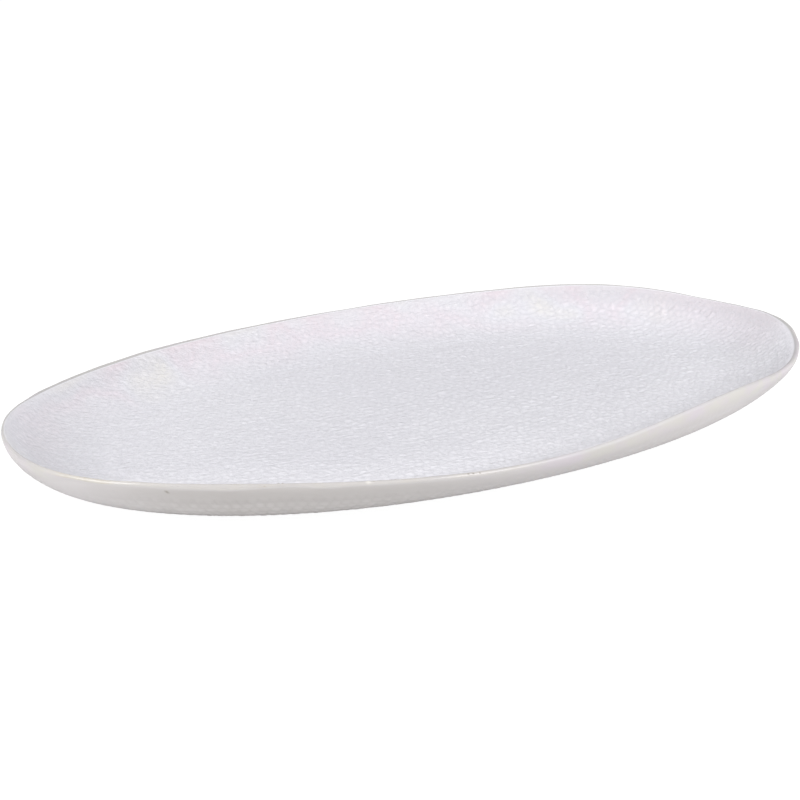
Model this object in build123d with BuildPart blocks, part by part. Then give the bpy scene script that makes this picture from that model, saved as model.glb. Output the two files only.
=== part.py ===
from build123d import *

import os
from math import cos, hypot, pi, radians, sin

# A large oval serving platter in glazed porcelain: one flat floor, one flared wall with a hand-formed,
# gently waving lip, and a narrow ground foot ring. Millimetres, +Z up, +X along the platter's length.
# The origin is on the table, under the middle of the platter.

# ---- driving dimensions ----
LENGTH = 460.0
WIDTH = 258.0
LIP_HEIGHT = 27.2  # mean height of the lip's crest over the table
FLOOR_HEIGHT = 7.6  # glazed floor of the well over the table
UNDERSIDE_HEIGHT = 2.6  # glazed underside over the table: the foot ring's stand-off
GLAZE = 0.5  # thickness of every glaze layer
END_FLARE = 2.5  # how much further the wall leans out at the two ends than at the sides
FOOT_INSET = 41.0  # from the outline to the foot ring's outer face, at the sides
FOOT_WIDTH = 5.0
FOOT_EASE = 0.8  # the small chamfer on both lower edges of the foot ring
CLAY_UNDERSIDE = UNDERSIDE_HEIGHT + GLAZE
LIP_EDGE = LIP_HEIGHT - 2.2  # where the lip's glaze ends and the outer wall's begins

# The outline is an ellipse, slightly out of true, as a hand-pressed form is, and the lip rises and falls.
# Each wave is (crests per turn, height of a crest, bearing of one crest in degrees).
OUTLINE_WAVES = ((3, 0.5, -16), (4, 0.5, -42))
LIP_WAVES = (
    (1, 1.3, -115),
    (2, 0.9, 17),
    (3, 1.4, 58),
    (4, 1.0, 42),
    (5, 0.8, 11),
    (6, 1.3, -8),
    (7, 0.5, -12),
    (8, 0.4, -11),
)
RING_POINTS = 72

# ---- cross-section of the glazed platter, as (inset from the outline, height over the table) ----
# The well's floor is flat, and its wall curves up to the inner edge of the lip.
WELL_PROFILE = (
    (54.0, FLOOR_HEIGHT),
    (46.0, FLOOR_HEIGHT),
    (39.0, 7.9),
    (32.0, 8.7),
    (21.0, 11.4),
    (13.0, 15.4),
    (7.6, 19.8),
    (4.2, LIP_HEIGHT - 2.5),
    (3.0, LIP_HEIGHT - 1.1),
)
# The lip is a soft rolled edge, thinner than the wall.
LIP_PROFILE = (
    WELL_PROFILE[-1],
    (2.3, LIP_HEIGHT - 0.4),
    (1.4, LIP_HEIGHT),
    (0.5, LIP_HEIGHT - 0.5),
    (0.1, LIP_HEIGHT - 1.3),
    (0.0, LIP_EDGE),
)
# The outer wall falls away under the lip and turns in to the flat underside, as far as the foot ring.
WALL_PROFILE = (
    LIP_PROFILE[-1],
    (0.4, LIP_HEIGHT - 4.0),
    (2.9, 18.4),
    (7.9, 12.9),
    (14.4, 8.2),
    (21.8, 4.9),
    (27.9, 3.3),
    (33.0, UNDERSIDE_HEIGHT + 0.1),
    (37.0, UNDERSIDE_HEIGHT),
    (FOOT_INSET, UNDERSIDE_HEIGHT),
)
SECTION = WELL_PROFILE + LIP_PROFILE[1:] + WALL_PROFILE[1:]
LIP_START = len(WELL_PROFILE) - 1
LIP_END = LIP_START + len(LIP_PROFILE) - 1


def waves(terms, turn):
    """Sum of the waves at this angle around the platter."""
    return sum(height * cos(count * (turn - radians(crest))) for count, height, crest in terms)


def lift(height):
    """Share of the lip's waves that the surface at this height follows: none at the floor, all at the lip."""
    share = (height - FLOOR_HEIGHT) / (LIP_HEIGHT - FLOOR_HEIGHT)
    return max(0.0, share) ** 1.5


def lean(height):
    """Share of the ends' flare that the surface at this height has: none at the lip, all at the foot."""
    return min(1.0, max(0.0, LIP_EDGE - height) / (LIP_EDGE - UNDERSIDE_HEIGHT))


def ring(inset, height, wave_share=0.0):
    """One closed loop around the platter, this far in from the outline and this high."""
    flare = END_FLARE * lean(height)
    points = []
    for step in range(RING_POINTS):
        turn = 2 * pi * step / RING_POINTS
        outward = Vector(WIDTH * cos(turn), LENGTH * sin(turn)).normalized()
        place = Vector(LENGTH / 2 * cos(turn), WIDTH / 2 * sin(turn), height)
        place += outward * (waves(OUTLINE_WAVES, turn) - inset - flare * cos(turn) ** 2)
        place += Vector(0, 0, wave_share * waves(LIP_WAVES, turn))
        points.append(place)
    knots = [step / RING_POINTS for step in range(RING_POINTS + 1)]
    return Wire([Edge.make_spline(points, periodic=True, parameters=knots)])


def section_rings(depth):
    """Rings through the whole section, this deep under the glazed surface and square to it."""
    rings = []
    last = len(SECTION) - 1
    for place, (inset, height) in enumerate(SECTION):
        before = SECTION[max(place - 1, 0)]
        after = SECTION[min(place + 1, last)]
        run = after[0] - before[0]
        rise = after[1] - before[1]
        length = hypot(run, rise)
        sunk_inset = inset - depth * rise / length
        sunk_height = height + depth * run / length
        rings.append(ring(sunk_inset, sunk_height, lift(height)))
    return rings


def well_lip_wall(rings):
    """Three smooth surfaces through the rings: the well, the lip and the outer wall."""
    well = Shell.make_loft(rings[: LIP_START + 1])
    lip = Shell.make_loft(rings[LIP_START : LIP_END + 1])
    wall = Shell.make_loft(rings[LIP_END:])
    return well, lip, wall


def band(one_ring, other_ring):
    """The narrow straight strip between two rings, where a glaze layer ends."""
    return Shell.make_loft([one_ring, other_ring], ruled=True)


def closed_solid(*surfaces):
    """The solid that these surfaces enclose."""
    return Solid(Shell([face for surface in surfaces for face in surface.faces()]))


# The fired clay's own surface lies one glaze thickness under the glazed one. Each surface is made once and
# shared by the two pieces that meet on it, so that they touch without a gap or an overlap.
glazed = section_rings(0)
clay = section_rings(GLAZE)
glazed_well, glazed_lip, glazed_wall = well_lip_wall(glazed)
clay_well, clay_lip, clay_wall = well_lip_wall(clay)
glazed_floor = Face(glazed[0])
clay_floor = Face(clay[0])
clay_underside = Face(clay[-1])
well_lip_joint = band(glazed[LIP_START], clay[LIP_START])
lip_wall_joint = band(glazed[LIP_END], clay[LIP_END])
wall_foot_joint = band(glazed[-1], clay[-1])

# ---- clay body: floor, flared wall and lip in one fired piece ----
with BuildPart() as clay_body:
    add(closed_solid(clay_floor, clay_well, clay_lip, clay_wall, clay_underside))

# ---- foot ring: bare clay, ground flat where it stands, with its two lower edges eased ----
# The outer face is lofted as a solid plug, and the inner face is then cut out of it.
with BuildPart() as foot_ring:
    for face_inset, eased, mode in (
        (FOOT_INSET, FOOT_EASE, Mode.ADD),
        (FOOT_INSET + FOOT_WIDTH, -FOOT_EASE, Mode.SUBTRACT),
    ):
        for inset, height in ((face_inset + eased, 0), (face_inset, FOOT_EASE), (face_inset, CLAY_UNDERSIDE)):
            with BuildSketch(Plane.XY.offset(height)):
                with BuildLine():
                    add(ring(inset, 0).edges())
                make_face()
        loft(ruled=True, mode=mode)

# ---- glaze of the well: floor and inner wall, up to the lip ----
with BuildPart() as well_glaze:
    add(closed_solid(glazed_floor, glazed_well, well_lip_joint, clay_well, clay_floor))

# ---- glaze of the lip: the rolled band over the crest ----
with BuildPart() as lip_glaze:
    add(closed_solid(glazed_lip, well_lip_joint, clay_lip, lip_wall_joint))

# ---- glaze of the outer wall, from under the lip in to the foot ring ----
with BuildPart() as wall_glaze:
    add(closed_solid(glazed_wall, lip_wall_joint, clay_wall, wall_foot_joint))

# ---- glaze of the underside, inside the foot ring ----
with BuildPart() as base_glaze:
    with BuildSketch(Plane.XY.offset(UNDERSIDE_HEIGHT)):
        with BuildLine():
            add(ring(FOOT_INSET + FOOT_WIDTH, 0).edges())
        make_face()
    extrude(amount=GLAZE)

clay_body.part.label = "clay_body"
foot_ring.part.label = "foot_ring"
well_glaze.part.label = "well_glaze"
lip_glaze.part.label = "lip_glaze"
wall_glaze.part.label = "wall_glaze"
base_glaze.part.label = "base_glaze"

os.makedirs("parts", exist_ok=True)
export_step(clay_body.part, "parts/clay_body.step")
export_step(foot_ring.part, "parts/foot_ring.step")
export_step(well_glaze.part, "parts/well_glaze.step")
export_step(lip_glaze.part, "parts/lip_glaze.step")
export_step(wall_glaze.part, "parts/wall_glaze.step")
export_step(base_glaze.part, "parts/base_glaze.step")
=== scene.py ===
import math

import bpy
import numpy as np
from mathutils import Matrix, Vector
from mathutils.bvhtree import BVHTree
from mathutils.geometry import delaunay_2d_cdt
from mathutils.kdtree import KDTree


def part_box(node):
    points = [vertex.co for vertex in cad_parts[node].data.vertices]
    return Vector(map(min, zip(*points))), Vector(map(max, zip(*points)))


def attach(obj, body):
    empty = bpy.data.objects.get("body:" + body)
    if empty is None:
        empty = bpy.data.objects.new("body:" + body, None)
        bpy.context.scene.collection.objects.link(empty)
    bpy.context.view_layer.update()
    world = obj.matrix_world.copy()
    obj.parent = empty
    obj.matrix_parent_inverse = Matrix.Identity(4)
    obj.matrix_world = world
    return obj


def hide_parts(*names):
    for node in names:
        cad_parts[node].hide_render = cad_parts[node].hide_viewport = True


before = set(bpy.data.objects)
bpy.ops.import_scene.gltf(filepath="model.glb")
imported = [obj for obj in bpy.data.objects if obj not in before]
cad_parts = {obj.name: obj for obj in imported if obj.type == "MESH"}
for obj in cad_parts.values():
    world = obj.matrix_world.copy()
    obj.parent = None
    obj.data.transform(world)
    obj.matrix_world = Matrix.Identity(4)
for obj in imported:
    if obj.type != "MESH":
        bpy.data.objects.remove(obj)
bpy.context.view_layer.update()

# The platter's looks: three glaze skins with their pebbled relief, laid over the packed clay, and the
# materials, light and camera. Everything is in metres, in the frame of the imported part.
MM = 0.001
UP = np.array([0.0, 0.0, 1.0])
rng = np.random.default_rng(23)

# ---- meshing ----
CELLS_LONG = 400  # cells of the well's grid along the platter
CELLS_WIDE = 224  # and across it
SPOKE_ROWS = 90  # heights sampled down each spoke of the well,
SPOKE_START = 0.6  # from this share of the way out, where the floor is still flat, to the lip
UNDER_STEP = 4  # the well's underside, against the clay, is this many times coarser
# The underside's rings up the wall, in mm from the lip.
UNDER_RINGS = (0.8, 1.4, 2.0, 2.8, 3.6, 4.6, 5.6, 8.2, 11.5, 15.5, 20.5, 26.0)
UNDER_GRID = 32 * MM  # where its rings end and its grid begins
LIP_ROWS = 16
WALL_ROWS = 58
LIP_INNER_STEP = 5  # the lip's inner face has one row for this many outside,
WALL_INNER_STEP = 8  # and the wall's has one for this many
RAY_REACH = 60 * MM  # how far outside the glaze each sampling ray starts
GLAZE = 0.47 * MM  # thickness of a glaze skin

# ---- relief ----
PITCH = 4.85 * MM  # spacing of the pebbles
RELIEF = 0.46 * MM  # mean height of a pebble in the well
RELIEF_TILT = 0.6  # how much deeper the relief is at the +x end, and shallower at the other, as a share
WALL_RELIEF = 0.28 * MM
STEEP_RELIEF = 0.4  # the share of the relief that is left where the well's wall would be upright
MEAN_PEBBLE = 0.47  # the height of the relief, as a share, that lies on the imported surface
UNEVENNESS = 0.21  # how far a pebble strays from its row, as a share of the pitch
SMOOTH_BAND = 0.6 * MM  # unpebbled band just inside the lip
SMOOTH_COLLAR = 6.0 * MM  # unpebbled collar just under the lip, outside
COLLAR_PEBBLE_FADE = 3.0 * MM  # over which the wall's pebbles come up to full height,
BRIM_PEBBLE_FADE = 2.0 * MM  # and the well's, measured level

# ---- hand-made lip ----
ROLL_ROWS = 26  # rows over which the lip's roll is uneven: the lip's own, and the top of the outer wall
UNEVEN_ROLL = 0.12 * MM
BLISTER_RISE = 0.42  # height of a blister, as a share of its radius,
PIT_SINK = 0.25  # depth of a pit or of a burst blister's middle,
BURST_RIM = 0.3  # and height of the ring that is left around a burst blister
# Each flaw in the glaze is (bearing around the platter in degrees, row of the section, radius, kind).
# A burst blister changes only the shape. The other two also have a colour, a blister's a painted highlight.
FLAWS = (
    (234.0, 9, 1.2 * MM, "burst blister"),
    (245.0, 11, 1.1 * MM, "blister"),
    (218.5, 17, 0.3 * MM, "pit"),
    (257.3, 9, 0.4 * MM, "pit"),
    (257.9, 9, 0.4 * MM, "pit"),
    (258.7, 9, 0.4 * MM, "pit"),
)
GOLD_BEARING = 196  # where the lip's glaze breaks most to cream and gold, in degrees
GOLD_SPREAD = 16  # in degrees
# The outer wall's glaze is pale and smooth around each (bearing, spread in degrees, strength).
PALE_STRETCHES = ((318, 34, 1.0), (268, 15, 0.5), (198, 14, 0.9))
PEARL_BEARING = 50  # the middle of the stretch where the lip's glaze is as pearly as the well's
PEARL_SPREAD = (137, 157)  # angle from there at which it starts to turn to the plain glaze, and where it has
COLLAR_FADE = 0.9 * MM  # over which the lip's colour gives way to the wall's where it is plain
PEARL_REACH = 8 * MM  # and this much more where it is pearly

lip_low, lip_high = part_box("lip_glaze")
foot_low, foot_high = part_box("foot_ring")
half_length = (lip_high.x - lip_low.x) / 2
half_width = (lip_high.y - lip_low.y) / 2
foot_inset = half_length - (foot_high.x - foot_low.x) / 2


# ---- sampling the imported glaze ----
def tree_of(*nodes):
    """One ray-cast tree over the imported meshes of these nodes."""
    vertices, faces = [], []
    for node in nodes:
        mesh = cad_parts[node].data
        first = len(vertices)
        vertices += [v.co.copy() for v in mesh.vertices]
        faces += [[first + i for i in p.vertices] for p in mesh.polygons]
    return BVHTree.FromPolygons(vertices, faces)


def cast(tree, targets, outward):
    """Where rays that come in from outside, through the targets, first meet the surface."""
    hits = []
    for target, direction in zip(targets, outward):
        start = Vector(target + RAY_REACH * direction)
        hits.append(tree.ray_cast(start, Vector(-direction))[0])
    return np.array(hits, float)


def outline(turns):
    """The platter's outline at these angles, and the directions square to it, both level."""
    level = np.zeros_like(turns)
    points = np.stack([half_length * np.cos(turns), half_width * np.sin(turns), level], axis=-1)
    outward = np.stack([half_width * np.cos(turns), half_length * np.sin(turns), level], axis=-1)
    return points, outward / np.linalg.norm(outward, axis=-1, keepdims=True)


def from_outline(points):
    """How far inside the outline each point is, square to it, and the outward direction there."""
    x, y = points[:, 0], points[:, 1]
    turns = np.arctan2(y * half_length, x * half_width)
    for _ in range(6):
        edge, outward = outline(turns)
        along = (x - edge[:, 0]) * -outward[:, 1] + (y - edge[:, 1]) * outward[:, 0]
        turns += along / np.hypot(half_length * np.sin(turns), half_width * np.cos(turns))
    edge, outward = outline(turns)
    return (edge[:, 0] - x) * outward[:, 0] + (edge[:, 1] - y) * outward[:, 1], outward


def smooth_around(ring, passes=40):
    """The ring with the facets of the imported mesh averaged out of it."""
    for _ in range(passes):
        ring = (np.roll(ring, 1, axis=0) + 2 * ring + np.roll(ring, -1, axis=0)) / 4
    return ring


def smooth_down(rows, passes=3):
    """The rows with each inner row drawn towards its two neighbours."""
    for _ in range(passes):
        rows[1:-1] = (rows[:-2] + 2 * rows[1:-1] + rows[2:]) / 4
    return rows


def smoothstep(x, start, end):
    """0 before start, 1 after end, and a smooth rise between them."""
    t = np.clip((x - start) / (end - start), 0, 1)
    return t * t * (3 - 2 * t)


# ---- the grid that fills the oval: a square grid, bent so that its edge is the ring of the lip ----
def oval_grid():
    """Share of the way out to the edge, and angle, of each point of the grid."""
    along = np.linspace(-1, 1, CELLS_LONG + 1)[:, None]
    across = np.linspace(-1, 1, CELLS_WIDE + 1)[None, :]
    x = along * np.sqrt(1 - across**2 / 2)
    y = across * np.sqrt(1 - along**2 / 2)
    return np.hypot(x, y), np.arctan2(y, x)


def grid_edge():
    """Indices of the grid's edge points, once around, counter-clockwise from the -x, -y corner."""
    index = np.arange((CELLS_LONG + 1) * (CELLS_WIDE + 1)).reshape(CELLS_LONG + 1, CELLS_WIDE + 1)
    sides = (index[:-1, 0], index[-1, :-1], index[:0:-1, -1], index[0, :0:-1])
    return np.concatenate(sides)


share, turn = oval_grid()
edge = grid_edge()
turns = np.unwrap(turn.ravel()[edge])
glaze = tree_of("well_glaze", "lip_glaze", "wall_glaze")
rim, rim_outward = outline(turns)


# ---- lip and outer wall, as rings of points from the well's edge out, over and down to the foot ----
def wander(counts):
    """A smooth, uneven wave around the platter, about -1 to 1, with these numbers of crests."""
    waves = [np.sin(count * turns + rng.uniform(0, 2 * math.pi)) for count in counts]
    return sum(waves) / math.sqrt(len(counts))


def away_from(bearing, angles=turns):
    """Angle from this bearing, in degrees, to each of the angles around the platter."""
    return np.degrees(np.angle(np.exp(1j * (angles - math.radians(bearing)))))


def at_back(angles=turns):
    """1 around the back and both ends of the platter, 0 along the front."""
    return smoothstep(-abs(away_from(90, angles)), -112, -92)


def lip_rings():
    """Rings over the lip, sampled by a fan of rays around the middle of its thickness.

    The lowest ring, where the outer wall's glaze takes over, wanders up and down."""
    crest_inset, core_inset, core_depth = 1.4 * MM, 1.6 * MM, 2.4 * MM
    first_angle = math.radians(108)
    last_angle = np.radians(36 + 12 * wander((13, 21, 34, 55)))
    ups = np.tile(UP, (len(turns), 1))
    crest = smooth_around(cast(glaze, rim - crest_inset * rim_outward, ups))
    core = rim - core_inset * rim_outward
    core[:, 2] = crest[:, 2] - core_depth
    rings = []
    for share_down in np.linspace(0, 1, LIP_ROWS):
        angle = first_angle + (last_angle - first_angle) * share_down
        fan = np.cos(angle)[:, None] * rim_outward + np.sin(angle)[:, None] * UP
        rings.append(smooth_around(cast(glaze, core, fan)))
    return rings


def wall_rings(top):
    """Rings down the outer wall from the ring top, sampled by a fan of rays around a level circle."""
    heart_inset, heart_height = 44 * MM, 32 * MM
    heart = rim - heart_inset * rim_outward
    heart[:, 2] = heart_height
    first = np.arctan2(top[:, 2] - heart_height, np.einsum("ij,ij->i", top - heart, rim_outward))
    underside = foot_high.z - GLAZE
    last = math.atan2(underside - heart_height, heart_inset - foot_inset)
    rings = []
    for share_down in np.linspace(0, 1, WALL_ROWS + 1)[1:]:
        angle = first + (last - first) * share_down
        fan = np.cos(angle)[:, None] * rim_outward + np.sin(angle)[:, None] * UP
        rings.append(smooth_around(cast(glaze, heart, fan)))
    return rings


lip = lip_rings()
section = smooth_down(np.array(lip + wall_rings(lip[-1])))


def ring_normals(rows):
    """Outward surface directions of a band of rings."""
    down = np.gradient(rows, axis=0)
    around = np.roll(rows, -1, axis=1) - np.roll(rows, 1, axis=1)
    normals = np.cross(down, around)
    return normals / np.linalg.norm(normals, axis=-1, keepdims=True)


section_normals = ring_normals(section)


def raise_lip():
    """How far each point of the section stands off the sampled surface, and its flaws' colours.

    The height is for a hand-formed, uneven roll and a few flaws in the glaze. The colours are two shares at
    each point, one of a whole blister, which is painted white as a highlight, and one of a pit."""
    rows = np.arange(len(section))
    across = np.sin(math.pi * np.clip(rows / ROLL_ROWS, 0, 1))[:, None]
    offset = UNEVEN_ROLL * across * wander((9, 16, 27, 44))[None, :]
    shares = {"blister": np.zeros_like(offset), "pit": np.zeros_like(offset)}
    for bearing, row, radius, kind in FLAWS:
        centre = section[row, np.argmin(abs(away_from(bearing)))]
        away = np.linalg.norm(section - centre, axis=-1) / radius
        if kind == "blister":
            offset += BLISTER_RISE * radius * np.exp(-((away / 0.8) ** 2))
        else:
            offset -= PIT_SINK * radius * np.exp(-((away / 0.5) ** 2))
        if kind == "burst blister":
            offset += BURST_RIM * radius * np.exp(-(((away - 0.9) / 0.4) ** 2))
        if kind in shares:
            shares[kind] = np.maximum(shares[kind], np.exp(-(away**4)))
    return offset, shares


raised, flaws = raise_lip()
section += section_normals * raised[..., None]
section_normals = ring_normals(section)


# ---- pebbles ----
def pebble_height(points, centres):
    """Height of the relief at each point: 1 in the middle of a pebble, 0 in the crease between two."""
    tree = KDTree(len(centres))
    for i, centre in enumerate(centres):
        tree.insert(centre, i)
    tree.balance()
    sizes = rng.uniform(0.6, 1.15, len(centres))
    half_width_of_pebble = 0.46 * PITCH
    heights = np.zeros(len(points))
    for i, point in enumerate(points):
        (first, k, near), (second, _, far) = tree.find_n(point, 2)
        to_crease = (far * far - near * near) / (2 * (second - first).length)
        climb = min(to_crease / half_width_of_pebble, 1.0)
        heights[i] = sizes[k] * climb * (2 - climb)
    return heights


def unrolled(points, inset, outward):
    """The level points moved outward by as much as the well's wall is longer than its plan.

    Pebbles laid out over them keep their size up the slope."""
    depths = np.linspace(60, 1.4, 80) * MM
    side = np.argmin(abs(away_from(90)))
    spots = (rim[side] - depths[:, None] * rim_outward[side]) * (1, 1, 0)
    heights = cast(glaze, spots, np.tile(UP, (len(spots), 1)))[:, 2]
    longer = np.hypot(np.diff(depths), np.diff(heights)) + np.diff(depths)
    extra = np.append(0, np.cumsum(longer))
    return points + outward * np.interp(inset, depths[::-1], extra[::-1])[:, None]


def well_pebbles():
    """Pebble centres over the unrolled well, in staggered rows that wander and are a little uneven."""
    row_gap = 0.74 * PITCH
    margin = 10 * MM
    rows = int((half_width + margin) / row_gap) + 1
    columns = int((half_length + margin) / PITCH) + 1
    centres = []
    for row in range(-rows, rows + 1):
        for column in range(-columns, columns + 1):
            centres.append(((column + 0.5 * (row % 2)) * PITCH, row * row_gap, 0.0))
    centres = np.array(centres)
    x, y = centres[:, 0].copy(), centres[:, 1].copy()
    drift = 5 * MM
    centres[:, 0] += drift * np.sin(y / (31 * MM) + 1.3 * np.sin(x / (67 * MM)))
    centres[:, 1] += drift * np.sin(x / (38 * MM) + 1.1 * np.sin(y / (43 * MM)))
    centres[:, :2] += rng.normal(0, UNEVENNESS * PITCH, (len(centres), 2))
    return centres


def wall_pebbles(rows):
    """Pebble centres on the outer wall, in staggered rows that run parallel to the lip."""
    steps = np.linalg.norm(np.diff(rows, axis=0), axis=-1).mean(axis=1)
    depth = np.concatenate([[0], np.cumsum(steps)])
    centres = []
    for count, down in enumerate(np.arange(SMOOTH_COLLAR, depth[-1], 0.9 * PITCH)):
        ring = rows[np.searchsorted(depth, down)]
        length = np.linalg.norm(np.roll(ring, -1, axis=0) - ring, axis=-1)
        along = np.concatenate([[0], np.cumsum(length)])
        number = round(along[-1] / PITCH)
        places = (np.arange(number) + 0.5 * (count % 2) + rng.normal(0, 0.1, number)) / number * along[-1]
        closed = np.vstack([ring, ring[:1]])
        places = places % along[-1]
        centres.append(np.stack([np.interp(places, along, closed[:, axis]) for axis in range(3)], axis=-1))
    return np.concatenate(centres)


# ---- meshes ----
def add_piece(name, vertices, faces, material, node, slot, joints, **attributes):
    """A smooth-shaded mesh that stands for a CAD node, with named numbers for its material to read.

    joints pairs the vertices of each ring that it shares with its neighbour with the surface's directions
    there, so that the shading runs on from one piece to the next."""
    mesh = bpy.data.meshes.new(name)
    mesh.from_pydata(vertices.tolist(), [], faces)
    for label, values in attributes.items():
        layer = mesh.attributes.new(label, "FLOAT", "POINT")
        layer.data.foreach_set("value", values.astype(np.float32))
    mesh.shade_smooth()
    shading = np.zeros((len(vertices), 3))
    for ring, directions in joints:
        shading[ring] = directions
    mesh.normals_split_custom_set_from_vertices(shading.tolist())
    mesh.materials.append(material)
    piece = bpy.data.objects.new(name, mesh)
    bpy.context.scene.collection.objects.link(piece)
    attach(piece, "root")
    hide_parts(node)


def ring_faces(row_count, ring_size):
    """Quads of a closed tube of rings, the last ring joined back to the first."""
    faces = []
    for row in range(row_count):
        here = row * ring_size
        below = (row + 1) % row_count * ring_size
        for i in range(ring_size):
            after = (i + 1) % ring_size
            faces.append((here + i, below + i, below + after, here + after))
    return faces


def skin_of(rows, normals, inner_step):
    """Vertices and faces of a closed skin: the rings as they are, and back through a coarser inner face."""
    inner = (rows - GLAZE * normals)[::-inner_step]
    rings = np.concatenate([rows, inner])
    return rings.reshape(-1, 3), ring_faces(len(rings), rows.shape[1]), len(inner)


def end_rings(normals):
    """The first and last ring of a band of rings, each with its surface directions."""
    row_count, ring_size = normals.shape[:2]
    ring = np.arange(ring_size)
    return [(ring, normals[0]), (ring + (row_count - 1) * ring_size, normals[-1])]


def well_underside(grid, inset):
    """Points a glaze's thickness under the well's surface: rings up the wall, and a grid inside them."""
    coarse = (slice(None, None, UNDER_STEP), slice(None, None, UNDER_STEP))
    places = [grid[coarse][inset[coarse] > UNDER_GRID]]
    for distance in UNDER_RINGS:
        places.append((section[0] - distance * MM * rim_outward)[::UNDER_STEP] * (1, 1, 0))
    points = []
    for place in np.concatenate(places):
        above = Vector(place + RAY_REACH * UP)
        surface, facing = glaze.ray_cast(above, Vector(-UP))[:2]
        points.append(surface - Vector(UP) * (GLAZE / facing.z))
    return np.array(points)


def closed_turns():
    """The turns of the lip's edge, from 0 at the first one to a full turn back at it."""
    return np.append(turns - turns[0], 2 * math.pi)


def spoke_angle():
    """The same measure of angle for each point of the grid."""
    return np.mod(turn.ravel() - turns[0], 2 * math.pi)


def well_top():
    """The smooth top of the well, before its pebbles, at each point of the grid.

    Heights are sampled along spokes from the floor out to the lip, smoothed, and read between the samples."""
    shares = np.linspace(SPOKE_START, 1, SPOKE_ROWS)
    ups = np.tile(UP, (len(turns), 1))
    spokes = [smooth_around(cast(glaze, section[0] * (s, s, 0), ups)[:, 2]) for s in shares]
    spokes[-1] = section[0][:, 2]
    spokes = smooth_down(np.array(spokes))

    column = np.interp(spoke_angle(), closed_turns(), np.arange(len(turns) + 1))
    left = column.astype(int) % len(turns)
    right = (left + 1) % len(turns)
    beside = column % 1
    row = np.clip((share.ravel() - SPOKE_START) / (1 - SPOKE_START), 0, 1) * (SPOKE_ROWS - 1)
    inner = np.minimum(row.astype(int), SPOKE_ROWS - 2)
    out = row - inner

    lip_edge = section[0][left] * (1 - beside)[:, None] + section[0][right] * beside[:, None]
    top = share.ravel()[:, None] * lip_edge
    inner_height = spokes[inner, left] * (1 - beside) + spokes[inner, right] * beside
    outer_height = spokes[inner + 1, left] * (1 - beside) + spokes[inner + 1, right] * beside
    top[:, 2] = inner_height * (1 - out) + outer_height * out
    top[edge] = section[0]
    return top


def build_well(material):
    """The glaze of the well: a fine pebbled top and a coarse underside against the clay."""
    top = well_top()
    flat = top * (1, 1, 0)
    along_x = np.gradient(top.reshape(*share.shape, 3), axis=0)
    along_y = np.gradient(top.reshape(*share.shape, 3), axis=1)
    normals = np.cross(along_x, along_y).reshape(-1, 3)
    normals /= np.linalg.norm(normals, axis=-1, keepdims=True)
    inset, outward = from_outline(flat)
    lip_inset = from_outline(section[0])[0]
    inward = inset - np.interp(spoke_angle(), closed_turns(), np.append(lip_inset, lip_inset[0]))
    pebbled = smoothstep(inward, SMOOTH_BAND, SMOOTH_BAND + BRIM_PEBBLE_FADE)
    pebble = pebble_height(unrolled(flat, inset, outward), well_pebbles())
    along = flat[:, 0] / half_length
    slope_share = STEEP_RELIEF + (1 - STEEP_RELIEF) * normals[:, 2]
    relief = RELIEF * (1 + RELIEF_TILT * along) * slope_share * pebbled
    top += normals * ((pebble - MEAN_PEBBLE) * relief)[:, None]
    top[edge] = section[0]

    index = np.arange(len(top)).reshape(share.shape)
    quads = np.stack([index[:-1, :-1], index[1:, :-1], index[1:, 1:], index[:-1, 1:]], axis=-1)
    faces = quads.reshape(-1, 4).tolist()
    under = well_underside(flat.reshape(*share.shape, 3), inset.reshape(share.shape))
    ring = [Vector(top[i][:2]) for i in edge]
    inner = [Vector(p[:2]) for p in under]
    around_edge = [list(range(len(ring)))]
    _, _, triangles, _, _, _ = delaunay_2d_cdt(ring + inner, [], around_edge, 1, 0)
    vertex = list(edge) + list(range(len(top), len(top) + len(under)))
    faces += [[int(vertex[i]) for i in reversed(t)] for t in triangles]
    vertices = np.vstack([top, under])
    unseen = np.zeros(len(under))
    away_from_left = smoothstep(along, -1.0, -0.6)
    back = at_back(turn.ravel())
    # In order: the creases, with pooled glaze and painted shade; the way up the slope, for the painted sheen;
    # the top of the slope at the back, for painted shade; the floor along the front, for painted light that
    # lifts the front lip's shadow; and the right end, where the painted sheen turns pink.
    numbers = {
        "hollow": (1 - pebble) * pebbled,
        "rise": smoothstep(-inset, -40 * MM, -6 * MM) * (0.3 + 0.7 * away_from_left),
        "brim": smoothstep(-inset, -13 * MM, -4 * MM) * back * away_from_left,
        "near": smoothstep(-inset, -82 * MM, -45 * MM) * (1 - back),
        "pink": smoothstep(along, 0.72, 0.92),
    }
    numbers = {name: np.append(values, unseen) for name, values in numbers.items()}
    add_piece(
        "pebbled_well",
        vertices,
        faces,
        material,
        node="well_glaze",
        slot="pearl_glaze",
        joints=[(edge, section_normals[0])],
        **numbers,
    )


def pearly():
    """Share of the well's pearly look that the lip has, around the platter."""
    near, far = PEARL_SPREAD
    return smoothstep(-abs(away_from(PEARL_BEARING)), -far, -near)


def build_lip(material):
    """The glaze of the lip: a thin smooth roll."""
    rows, normals = section[:LIP_ROWS], section_normals[:LIP_ROWS]
    vertices, faces, inner_rows = skin_of(rows, normals, LIP_INNER_STEP)
    gold = np.tile(np.exp(-((away_from(GOLD_BEARING) / GOLD_SPREAD) ** 2)), LIP_ROWS + inner_rows)
    unseen = np.zeros(inner_rows * len(turns))
    numbers = {name: np.append(values[:LIP_ROWS], unseen) for name, values in flaws.items()}
    numbers["gold"] = gold
    numbers["pearly"] = np.tile(pearly(), LIP_ROWS + inner_rows)
    numbers["back"] = np.tile(at_back(), LIP_ROWS + inner_rows)
    numbers["inner"] = np.append(np.repeat(smoothstep(-np.arange(LIP_ROWS), -4, -1), len(turns)), unseen)
    numbers["down"] = np.append(np.repeat(np.linspace(0, 1, LIP_ROWS), len(turns)), unseen)
    add_piece(
        "rolled_lip",
        vertices,
        faces,
        material,
        node="lip_glaze",
        slot="lip_glaze",
        joints=end_rings(normals),
        **numbers,
    )


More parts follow.
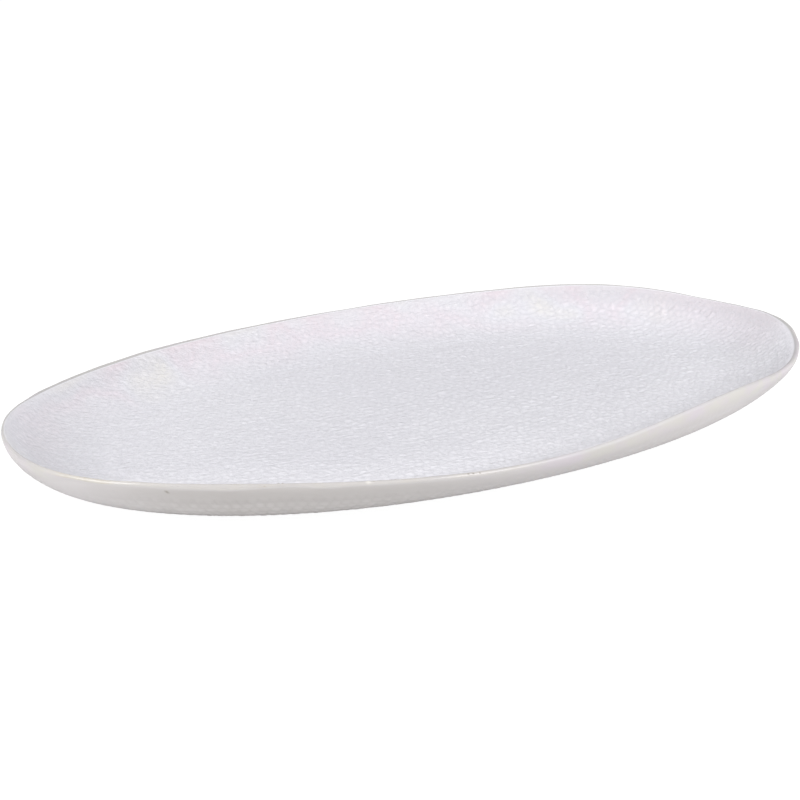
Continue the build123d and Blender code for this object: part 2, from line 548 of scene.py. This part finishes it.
def build_wall(material):
    """The glaze of the outer wall: a smooth collar, then pebbles down to the foot ring."""
    rows = section[LIP_ROWS - 1 :].copy()
    normals = section_normals[LIP_ROWS - 1 :]
    steps = np.linalg.norm(np.diff(rows, axis=0), axis=-1)
    depth = np.vstack([np.zeros(rows.shape[1]), np.cumsum(steps, axis=0)])
    flat_rows = rows.reshape(-1, 3)
    pebble = pebble_height(flat_rows, wall_pebbles(rows)).reshape(depth.shape)
    pale = sum(strength * np.exp(-((away_from(at) / spread) ** 2)) for at, spread, strength in PALE_STRETCHES)
    half_fade = COLLAR_PEBBLE_FADE / 2
    pebbled = smoothstep(depth, SMOOTH_COLLAR - half_fade, SMOOTH_COLLAR + half_fade) * (1 - 0.9 * pale)
    raised = rows + normals * ((pebble - MEAN_PEBBLE) * WALL_RELIEF * pebbled)[..., None]
    raised[0], raised[-1] = rows[0], rows[-1]
    vertices, faces, inner_rows = skin_of(raised, normals, WALL_INNER_STEP)
    numbers = {
        "hollow": (1 - pebble) * pebbled,
        "collar": smoothstep(-depth / (COLLAR_FADE + PEARL_REACH * pearly()), -1, -0.3),
        "upper": smoothstep(-depth, -16 * MM, -1 * MM),
        "pale": np.tile(pale, (len(rows), 1)),
        "pearly": np.tile(pearly(), (len(rows), 1)),
        # Painted shade low down by the foot, where the wall turns under towards the floor.
        "low": smoothstep(-rows[:, :, 2], -7.0 * MM, -4.8 * MM),
        "blister": flaws["blister"][LIP_ROWS - 1 :],
        "pit": flaws["pit"][LIP_ROWS - 1 :],
    }
    unseen = np.zeros(inner_rows * len(turns))
    numbers = {name: np.append(values, unseen) for name, values in numbers.items()}
    add_piece(
        "satin_wall",
        vertices,
        faces,
        material,
        node="wall_glaze",
        slot="satin_glaze",
        joints=end_rings(normals),
        **numbers,
    )


# ---- materials ----
# Colours are linear red, green and blue.
BLACK = (0, 0, 0)
WHITE = (1, 1, 1)
# The well.
WELL_GREY = (0.715, 0.708, 0.755)
WELL_WHITE = (0.745, 0.740, 0.780)
# Greyer in the creases: pooled glaze, and painted shade.
POOLED_SHADED_PEARL = (0.56, 0.555, 0.60)
# Painted sheen, pink at the right end.
END_PINK = (0.72, 0.655, 0.705)
# Painted light that lifts the front lip's shadow on the floor along the front.
PAINTED_LIGHT_PEARL = (0.800, 0.792, 0.835)
# Painted shade at the top of the slope at the back.
BRIM_SHADE = (0.895, 0.890, 0.885)  # multiplies the well's colour
# The lip, from its inner edge over the crest to its outer edge, and its flaws.
INNER_EDGE = (0.72, 0.712, 0.745)
FRONT_CREST = (0.48, 0.465, 0.48)
# Painted shade on the crest around the back and the ends.
SHADED_BACK_CREST = (0.42, 0.41, 0.405)
LIP_GREY = (0.515, 0.495, 0.495)
LIP_WHITE = (0.555, 0.530, 0.515)
PINK_PEARL = (0.57, 0.530, 0.562)
CREAM_PEARL = (0.565, 0.548, 0.523)
SPECK_BROWN = (0.34, 0.26, 0.18)
BLISTER_HIGHLIGHT = (0.68, 0.66, 0.63)
PIT_BROWN = (0.27, 0.24, 0.21)
# The outer wall.
WALL_GREY = (0.575, 0.550, 0.540)
WALL_WHITE = (0.645, 0.620, 0.615)
UPPER_GREY = (0.42, 0.40, 0.39)
# Darker in the creases: pooled glaze, and painted shade.
POOLED_SHADED_GREY = (0.41, 0.387, 0.378)
PALE_SATIN = (0.65, 0.622, 0.635)
FOOT_SHADE = (0.24, 0.225, 0.22)
# The bare clay.
CLAY_DARK = (0.58, 0.50, 0.40)
CLAY_PALE = (0.68, 0.61, 0.51)
GROG_BROWN = (0.25, 0.19, 0.14)


class Nodes:
    """A material's node tree, with short calls for the nodes that the glazes share."""

    def __init__(self, name):
        self.material = bpy.data.materials.new(name)
        self.material.use_nodes = True
        self.tree = self.material.node_tree
        self.shader = self.tree.nodes["Principled BSDF"]

    def add(self, kind, **settings):
        node = self.tree.nodes.new(kind)
        for key, value in settings.items():
            setattr(node, key, value)
        return node

    def link(self, source, target):
        self.tree.links.new(source, target)

    def noise(self, scale, detail=3.0, roughness=0.55, squeeze=(1, 1, 1)):
        """Noise over the piece's own coordinates: features per metre, times the squeeze along each axis."""
        where = self.add("ShaderNodeTexCoord")
        squeezed = self.add("ShaderNodeVectorMath", operation="MULTIPLY")
        squeezed.inputs[1].default_value = squeeze
        noise = self.add("ShaderNodeTexNoise")
        noise.inputs["Scale"].default_value = scale
        noise.inputs["Detail"].default_value = detail
        noise.inputs["Roughness"].default_value = roughness
        self.link(where.outputs["Object"], squeezed.inputs[0])
        self.link(squeezed.outputs["Vector"], noise.inputs["Vector"])
        return noise.outputs["Fac"]

    def ramp(self, value, *stops):
        """The value turned into a colour by (position, colour) stops."""
        ramp = self.add("ShaderNodeValToRGB")
        elements = ramp.color_ramp.elements
        while len(elements) < len(stops):
            elements.new(0.5)
        for element, (position, colour) in zip(elements, stops):
            element.position = position
            element.color = (*colour, 1)
        self.link(value, ramp.inputs["Fac"])
        return ramp.outputs["Color"]

    def mix(self, share, first, second, blend="MIX"):
        """Second over first, by the share, which is a number or a socket."""
        mix = self.add("ShaderNodeMix", data_type="RGBA", blend_type=blend)
        self.feed(mix.inputs["Factor"], share)
        self.feed(mix.inputs["A"], first)
        self.feed(mix.inputs["B"], second)
        return mix.outputs["Result"]

    def feed(self, socket, value):
        if isinstance(value, bpy.types.NodeSocket):
            self.link(value, socket)
        elif isinstance(value, tuple):
            socket.default_value = (*value, 1)
        else:
            socket.default_value = value

    def maths(self, operation, first, second):
        node = self.add("ShaderNodeMath", operation=operation)
        self.feed(node.inputs[0], first)
        self.feed(node.inputs[1], second)
        return node.outputs["Value"]

    def attribute(self, name):
        return self.add("ShaderNodeAttribute", attribute_name=name).outputs["Fac"]

    def bump(self, height, distance, strength=1.0):
        bump = self.add("ShaderNodeBump")
        bump.inputs["Distance"].default_value = distance
        bump.inputs["Strength"].default_value = strength
        self.link(height, bump.inputs["Height"])
        self.link(bump.outputs["Normal"], self.shader.inputs["Normal"])

    def set(self, **values):
        """Principled inputs by name, with underscores for spaces."""
        for key, value in values.items():
            self.feed(self.shader.inputs[key.replace("_", " ")], value)


def pearl_glaze():
    """Lavender-white pearl glaze, greyer where it pools between the pebbles and where painted shade fills the
    creases, with faint pink and gold lustre.

    The lustre is a painted iridescent sheen: it shows up the slope, and is pink at the right end. The top of
    the slope at the back is a little darker, a painted shade, and the floor along the front a little lighter,
    a painted light that lifts the front lip's shadow."""
    n = Nodes("pearl_glaze")
    body = n.ramp(n.noise(9, 4), (0.3, WELL_GREY), (0.7, WELL_WHITE))
    # The lustre is a painted iridescent sheen, laid up the slope and pink at the right end.
    lustre = n.ramp(
        n.noise(16, 2),
        (0.36, (0.72, 0.69, 0.73)),
        (0.45, (0.75, 0.645, 0.70)),
        (0.54, (0.72, 0.71, 0.75)),
        (0.63, (0.755, 0.725, 0.66)),
    )
    lustre = n.mix(n.attribute("pink"), lustre, END_PINK)
    glow = n.maths("MULTIPLY", n.attribute("rise"), 0.6)
    colour = n.mix(glow, body, lustre)
    # Painted shade at the top of the slope at the back.
    colour = n.mix(n.attribute("brim"), colour, BRIM_SHADE, "MULTIPLY")
    # Painted light on the floor along the front, lifting the front lip's shadow.
    colour = n.mix(n.attribute("near"), colour, PAINTED_LIGHT_PEARL)
    # The creases are greyer: partly pooled glaze, partly painted shade.
    pooled_and_shade = n.maths("MULTIPLY", n.attribute("hollow"), 0.45)
    colour = n.mix(pooled_and_shade, colour, POOLED_SHADED_PEARL)
    n.set(Base_Color=colour, Roughness=0.36, Specular_IOR_Level=0.5, IOR=1.5)
    n.set(Coat_Weight=0.2, Coat_Roughness=0.25)
    n.bump(n.noise(230, 3, 0.6, (1, 2, 2)), 1.0 * MM)
    return n.material


def lip_lustre(n):
    """The pearly stretch of the lip, and of the wall just under it, in pink and cream patches.

    The patches are a painted iridescent sheen.
    """
    return n.ramp(n.noise(42, 5, 0.65), (0.42, PINK_PEARL), (0.58, CREAM_PEARL))


def broken_lip_glaze():
    """The lip, where the glaze runs thin: warm grey-white, with a few brown specks.

    It breaks to cream and gold mostly at one side. Along its pearly stretch the crest is grey, a little
    darker around the back and the ends as a painted shade, and turns to pink and cream further down, which is
    a painted iridescent sheen. Its inner edge has the well's colour."""
    n = Nodes("broken_lip_glaze")
    plain = n.ramp(n.noise(45, 4), (0.35, LIP_GREY), (0.65, LIP_WHITE))
    broken = n.ramp(
        n.noise(130, 4),
        (0.35, (0.56, 0.54, 0.51)),
        (0.55, (0.55, 0.51, 0.44)),
        (0.68, (0.46, 0.41, 0.32)),
    )
    here = n.ramp(n.noise(70, 3), (0.40, (0.08, 0.08, 0.08)), (0.62, (0.55, 0.55, 0.55)))
    share = n.maths("MAXIMUM", n.attribute("gold"), n.maths("MULTIPLY", here, 0.5))
    specks = n.ramp(n.noise(420, 2), (0.68, BLACK), (0.74, WHITE))
    colour = n.mix(n.maths("MULTIPLY", share, 0.9), plain, broken)
    # Painted shade: the crest is darker around the back and the ends than along the front.
    crest = n.mix(n.attribute("back"), FRONT_CREST, SHADED_BACK_CREST)
    colour = n.mix(n.attribute("pearly"), colour, n.mix(n.attribute("down"), crest, lip_lustre(n)))
    colour = n.mix(n.attribute("inner"), colour, INNER_EDGE)
    specks = n.maths("MULTIPLY", specks, n.maths("SUBTRACT", 0.45, n.attribute("pearly")))
    colour = n.mix(specks, colour, SPECK_BROWN)
    # A painted highlight over each whole blister.
    colour = n.mix(n.attribute("blister"), colour, BLISTER_HIGHLIGHT)
    colour = n.mix(n.attribute("pit"), colour, PIT_BROWN)
    dull = n.maths("MULTIPLY", n.attribute("pearly"), 0.3)
    n.set(Base_Color=colour, Roughness=n.maths("ADD", dull, 0.25))
    n.set(Coat_Weight=n.maths("SUBTRACT", 0.35, dull), Coat_Roughness=0.12)
    n.bump(n.noise(500, 4), 0.12 * MM, 0.7)
    return n.material


def satin_glaze():
    """Warm grey satin glaze, clouded, and darker in two places: between the pebbles, where it pools and has
    painted shade in the creases, and low down by the foot, where the shade is painted.
    """
    n = Nodes("satin_glaze")
    body = n.ramp(n.noise(22, 4), (0.3, WALL_GREY), (0.7, WALL_WHITE))
    body = n.mix(n.maths("MULTIPLY", n.attribute("upper"), 0.75), body, UPPER_GREY)
    # The creases are darker: partly pooled glaze, partly painted shade.
    pooled_and_shade = n.maths("MULTIPLY", n.attribute("hollow"), 0.5)
    colour = n.mix(pooled_and_shade, body, POOLED_SHADED_GREY)
    colour = n.mix(n.maths("MULTIPLY", n.attribute("pale"), 0.65), colour, PALE_SATIN)
    # Along the pearly stretch the collar takes the lip's painted sheen.
    rim_colour = n.mix(n.attribute("pearly"), LIP_GREY, lip_lustre(n))
    colour = n.mix(n.attribute("collar"), colour, rim_colour)
    # Painted shade low down by the foot.
    colour = n.mix(n.maths("MULTIPLY", n.attribute("low"), 0.85), colour, FOOT_SHADE)
    # A painted highlight over each whole blister.
    colour = n.mix(n.attribute("blister"), colour, BLISTER_HIGHLIGHT)
    colour = n.mix(n.attribute("pit"), colour, PIT_BROWN)
    n.set(Base_Color=colour, Roughness=0.42, Coat_Weight=0.15, Coat_Roughness=0.3)
    n.bump(n.noise(700, 4), 0.08 * MM, 0.7)
    return n.material


def bare_clay():
    """Unglazed fired clay: dry, warm, with fine dark grog."""
    n = Nodes("bare_clay")
    body = n.ramp(n.noise(60, 5), (0.3, CLAY_DARK), (0.7, CLAY_PALE))
    grog = n.ramp(n.noise(1500, 2), (0.64, BLACK), (0.70, WHITE))
    colour = n.mix(n.maths("MULTIPLY", grog, 0.45), body, GROG_BROWN)
    n.set(Base_Color=colour, Roughness=0.85, Specular_IOR_Level=0.25)
    n.bump(n.noise(1800, 5), 0.08 * MM, 0.9)
    return n.material


def paint_node(node, material):
    """A CAD node keeps its shape and gets this material."""
    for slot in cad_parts[node].material_slots:
        slot.material = material


satin = satin_glaze()
clay = bare_clay()
build_well(pearl_glaze())
build_lip(broken_lip_glaze())
build_wall(satin)
paint_node("base_glaze", satin)
paint_node("clay_body", clay)
paint_node("foot_ring", clay)


# ---- floor, light and camera ----
def pale_floor():
    """Matte white. The camera sees it almost evenly lit, with only a faint contact shadow left on it."""
    n = Nodes("pale_floor")
    n.set(Base_Color=(0.8, 0.8, 0.8), Roughness=0.9, Specular_IOR_Level=0.0)
    glow = n.add("ShaderNodeEmission")
    glow.inputs["Strength"].default_value = 1.15
    ray = n.add("ShaderNodeLightPath")
    evenness = 0.85
    blend = n.add("ShaderNodeMixShader")
    n.feed(blend.inputs["Fac"], n.maths("MULTIPLY", ray.outputs["Is Camera Ray"], evenness))
    n.link(n.shader.outputs["BSDF"], blend.inputs[1])
    n.link(glow.outputs["Emission"], blend.inputs[2])
    n.link(blend.outputs["Shader"], n.tree.nodes["Material Output"].inputs["Surface"])
    return n.material


def add_floor():
    """A wide, pale, matte floor that the foot ring stands on."""
    size = 6.0
    corners = [(-size, -size, 0), (size, -size, 0), (size, size, 0), (-size, size, 0)]
    mesh = bpy.data.meshes.new("floor")
    mesh.from_pydata(corners, [], [(0, 1, 2, 3)])
    mesh.materials.append(pale_floor())
    floor = bpy.data.objects.new("floor", mesh)
    bpy.context.scene.collection.objects.link(floor)


def add_softbox(name, place, target, size, watts):
    """A large square area light that faces the target."""
    light = bpy.data.lights.new(name, "AREA")
    light.shape = "SQUARE"
    light.size = size
    light.energy = watts
    softbox = bpy.data.objects.new(name, light)
    softbox.location = place
    softbox.rotation_euler = (Vector(target) - Vector(place)).to_track_quat("-Z", "Y").to_euler()
    bpy.context.scene.collection.objects.link(softbox)


def add_camera():
    """A short telephoto lens, low and to the left of the platter's front."""
    azimuth, elevation = math.radians(-28.35), math.radians(20.73)
    distance = 0.8427
    target = Vector((-0.0190, -0.0011, 0.0141))
    back = Vector(
        (
            math.sin(azimuth) * math.cos(elevation),
            -math.cos(azimuth) * math.cos(elevation),
            math.sin(elevation),
        )
    )
    data = bpy.data.cameras.new("camera")
    data.sensor_width = 36
    data.lens = 71.26
    camera = bpy.data.objects.new("camera", data)
    camera.location = target + distance * back
    camera.rotation_euler = (-back).to_track_quat("-Z", "Y").to_euler()
    bpy.context.scene.collection.objects.link(camera)
    bpy.context.scene.camera = camera


def add_world(strength):
    """An even white surround, which is most of the light; the camera sees it as pure white."""
    world = bpy.data.worlds.new("studio")
    world.use_nodes = True
    tree = world.node_tree
    background = tree.nodes["Background"]
    background.inputs["Color"].default_value = (1, 1, 1, 1)
    ray = tree.nodes.new("ShaderNodeLightPath")
    seen = tree.nodes.new("ShaderNodeMapRange")
    seen.inputs["To Min"].default_value = strength
    seen.inputs["To Max"].default_value = 1.0
    tree.links.new(ray.outputs["Is Camera Ray"], seen.inputs["Value"])
    tree.links.new(seen.outputs["Result"], background.inputs["Strength"])
    bpy.context.scene.world = world


add_floor()
add_world(0.375)
middle = (0, 0, 0.02)
add_softbox("key_light", (1.1, -1.5, 1.1), middle, 1.2, 38)
add_softbox("fill_light", (-1.8, -0.2, 1.0), middle, 1.2, 30)
add_softbox("back_light", (-0.4, 1.6, 1.2), middle, 1.4, 9)
add_camera()
bpy.context.scene.view_settings.view_transform = "Standard"
